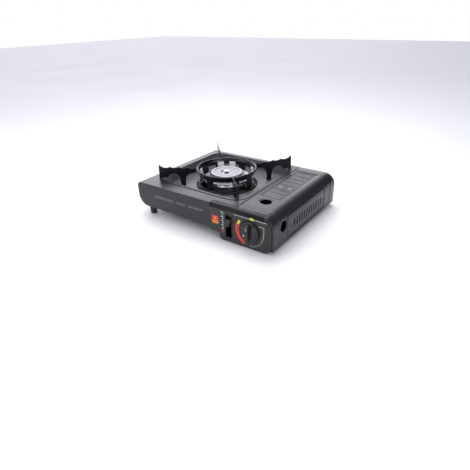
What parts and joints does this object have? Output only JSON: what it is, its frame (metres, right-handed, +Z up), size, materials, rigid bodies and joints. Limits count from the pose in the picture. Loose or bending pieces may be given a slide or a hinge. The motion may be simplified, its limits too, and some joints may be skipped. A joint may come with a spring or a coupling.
{
  "type": "portable gas stove",
  "caption": "Portable butane stove with an enamelled pan and pot arms, a side-hinged cartridge lid, a control knob and a cartridge lock lever.",
  "frame": {"origin": "middle of the footprint's bounding box, on the surface that the feet stand on", "axes": "+Z up, +X towards the cartridge bay, -Y towards the control panel's front face"},
  "size_m": [0.34, 0.2864, 0.1028],
  "materials": {
    "dark_paint": "satin",
    "black_enamel": "gloss",
    "panel_black": "satin",
    "knob_black": "satin",
    "lever_black": "satin",
    "rubber_black": "matte",
    "plated_steel": "satin",
    "cast_aluminium": "matte",
    "bright_steel": "gloss",
    "brass": "satin",
    "white_ceramic": "gloss",
    "wire_red": "satin"
  },
  "bodies": {
    "body": {"casing": "dark_paint", "front_plate": "dark_paint", "back_plate": "dark_paint", "front_cap": "dark_paint", "back_cap": "dark_paint", "control_panel": "panel_black", "piezo_igniter": "knob_black", "foot_front_left": "rubber_black", "foot_back_left": "rubber_black", "foot_front_right": "rubber_black", "foot_back_right": "rubber_black", "socket_seal": "rubber_black", "trough": "plated_steel", "hinge_rod": "plated_steel", "hinge_bracket_front": "plated_steel", "hinge_bracket_back": "plated_steel", "valve_plate": "plated_steel", "notch_guide": "plated_steel", "crank_pin": "plated_steel", "crank_bracket": "plated_steel", "heat_shield": "plated_steel", "burner_bracket": "plated_steel", "electrode_tip": "plated_steel", "burner_base": "cast_aluminium", "mixing_tube": "cast_aluminium", "regulator": "cast_aluminium", "burner_cap": "bright_steel", "cap_screw": "bright_steel", "drip_bowl": "bright_steel", "heat_plate": "bright_steel", "crank_spring": "bright_steel", "burner_ring": "brass", "jet": "brass", "gas_pipe": "brass", "electrode_insulator": "white_ceramic", "ignition_wire": "wire_red"},
    "lid": {"lid": "dark_paint", "lid_knuckle_front": "plated_steel", "lid_knuckle_back": "plated_steel"},
    "pan_support": {"pan": "black_enamel", "collar": "black_enamel", "arm_front_right": "black_enamel", "arm_back_right": "black_enamel", "arm_back_left": "black_enamel", "arm_front_left": "black_enamel"},
    "knob": {"knob": "knob_black", "knob_shaft": "plated_steel"},
    "lever": {"lock_lever": "lever_black", "lever_slide": "plated_steel"},
    "crank": {"lock_crank": "plated_steel"},
    "carriage": {"carriage": "plated_steel"}
  },
  "joints": [
    {"name": "lid_hinge", "type": "hinge", "parent": "body", "child": "lid", "pos_m": [0.165, 0.008, 0.011], "axis": [0, 1, 0], "range_deg": [0, 90]},
    {"name": "pan_lift", "type": "slide", "parent": "body", "child": "pan_support", "axis": [0, 0, 1], "range_m": [0, 0.05]},
    {"name": "knob_turn", "type": "hinge", "parent": "body", "child": "knob", "pos_m": [0.122, -0.1272, 0.0375], "axis": [0, -1, 0], "range_deg": [0, 120]},
    {"name": "lever_travel", "type": "slide", "parent": "body", "child": "lever", "axis": [0, 0, -1], "range_m": [0, 0.022]},
    {"name": "crank_turn", "type": "hinge", "parent": "body", "child": "crank", "pos_m": [0.0732, -0.1, 0.034], "axis": [1, 0, 0], "range_deg": [0, 60]},
    {"name": "carriage_travel", "type": "slide", "parent": "body", "child": "carriage", "axis": [0, -1, 0], "range_m": [0, 0.008]}
  ],
  "couplings": [
    {"joint": "crank_turn", "follows": "lever_travel", "rad_per_m": 47.59},
    {"joint": "carriage_travel", "follows": "lever_travel", "ratio": 0.3636}
  ]
}
